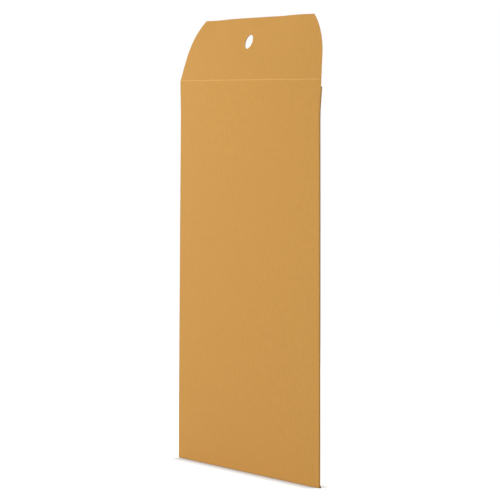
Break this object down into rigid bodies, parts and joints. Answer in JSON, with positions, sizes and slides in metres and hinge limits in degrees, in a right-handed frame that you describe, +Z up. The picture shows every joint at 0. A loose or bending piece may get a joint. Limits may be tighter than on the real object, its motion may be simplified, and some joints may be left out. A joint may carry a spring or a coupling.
{
  "type": "clasp envelope",
  "caption": "Kraft paper document envelope, open at the short end, with a scored seal flap, a punched hole in the flap and bendable metal clasp prongs that lock the flap shut",
  "frame": {"origin": "Middle of the flat underside of the bottom fold, where the upright envelope meets the surface", "axes": "+Z up along the envelope's height, +Y out of the back (clasp side), X across the width; the address face looks along -Y"},
  "size_m": [0.2286, 0.028, 0.3532],
  "materials": {
    "kraft": "smooth brown kraft paper, matt",
    "patch": "brown kraft paper patch, matt",
    "glue": "dry dextrin glue film",
    "gum": "dry remoistenable gum, satin",
    "tinned_steel": "bright tinned steel"
  },
  "bodies": {
    "pocket": {"front_panel": "kraft", "left_back_panel": "kraft", "right_back_panel": "kraft", "bottom_flap": "kraft", "flap_score": "kraft", "seam_glue": "glue", "bottom_glue": "glue", "clasp_base": "tinned_steel", "clasp_patch": "patch"},
    "flap": {"seal_flap": "kraft", "seal_gum": "gum", "eyelet_patch": "patch"},
    "left_clasp_prong": {"left_prong": "tinned_steel"},
    "right_clasp_prong": {"right_prong": "tinned_steel"}
  },
  "joints": [
    {"name": "flap_fold", "type": "hinge", "parent": "pocket", "child": "flap", "pos_m": [0, 0, 0.3048], "axis": [-1, 0, 0], "range_deg": [-11.6, 163.3], "deforming": ["flap_score"]},
    {"name": "left_prong_bend", "type": "hinge", "parent": "pocket", "child": "left_clasp_prong", "pos_m": [-0.0012, 0.00844, 0.27782], "axis": [0, 0.0362, 0.9993], "range_deg": [0, 90]},
    {"name": "right_prong_bend", "type": "hinge", "parent": "pocket", "child": "right_clasp_prong", "pos_m": [0.0012, 0.00844, 0.27782], "axis": [0, -0.0362, -0.9993], "range_deg": [0, 90]}
  ]
}
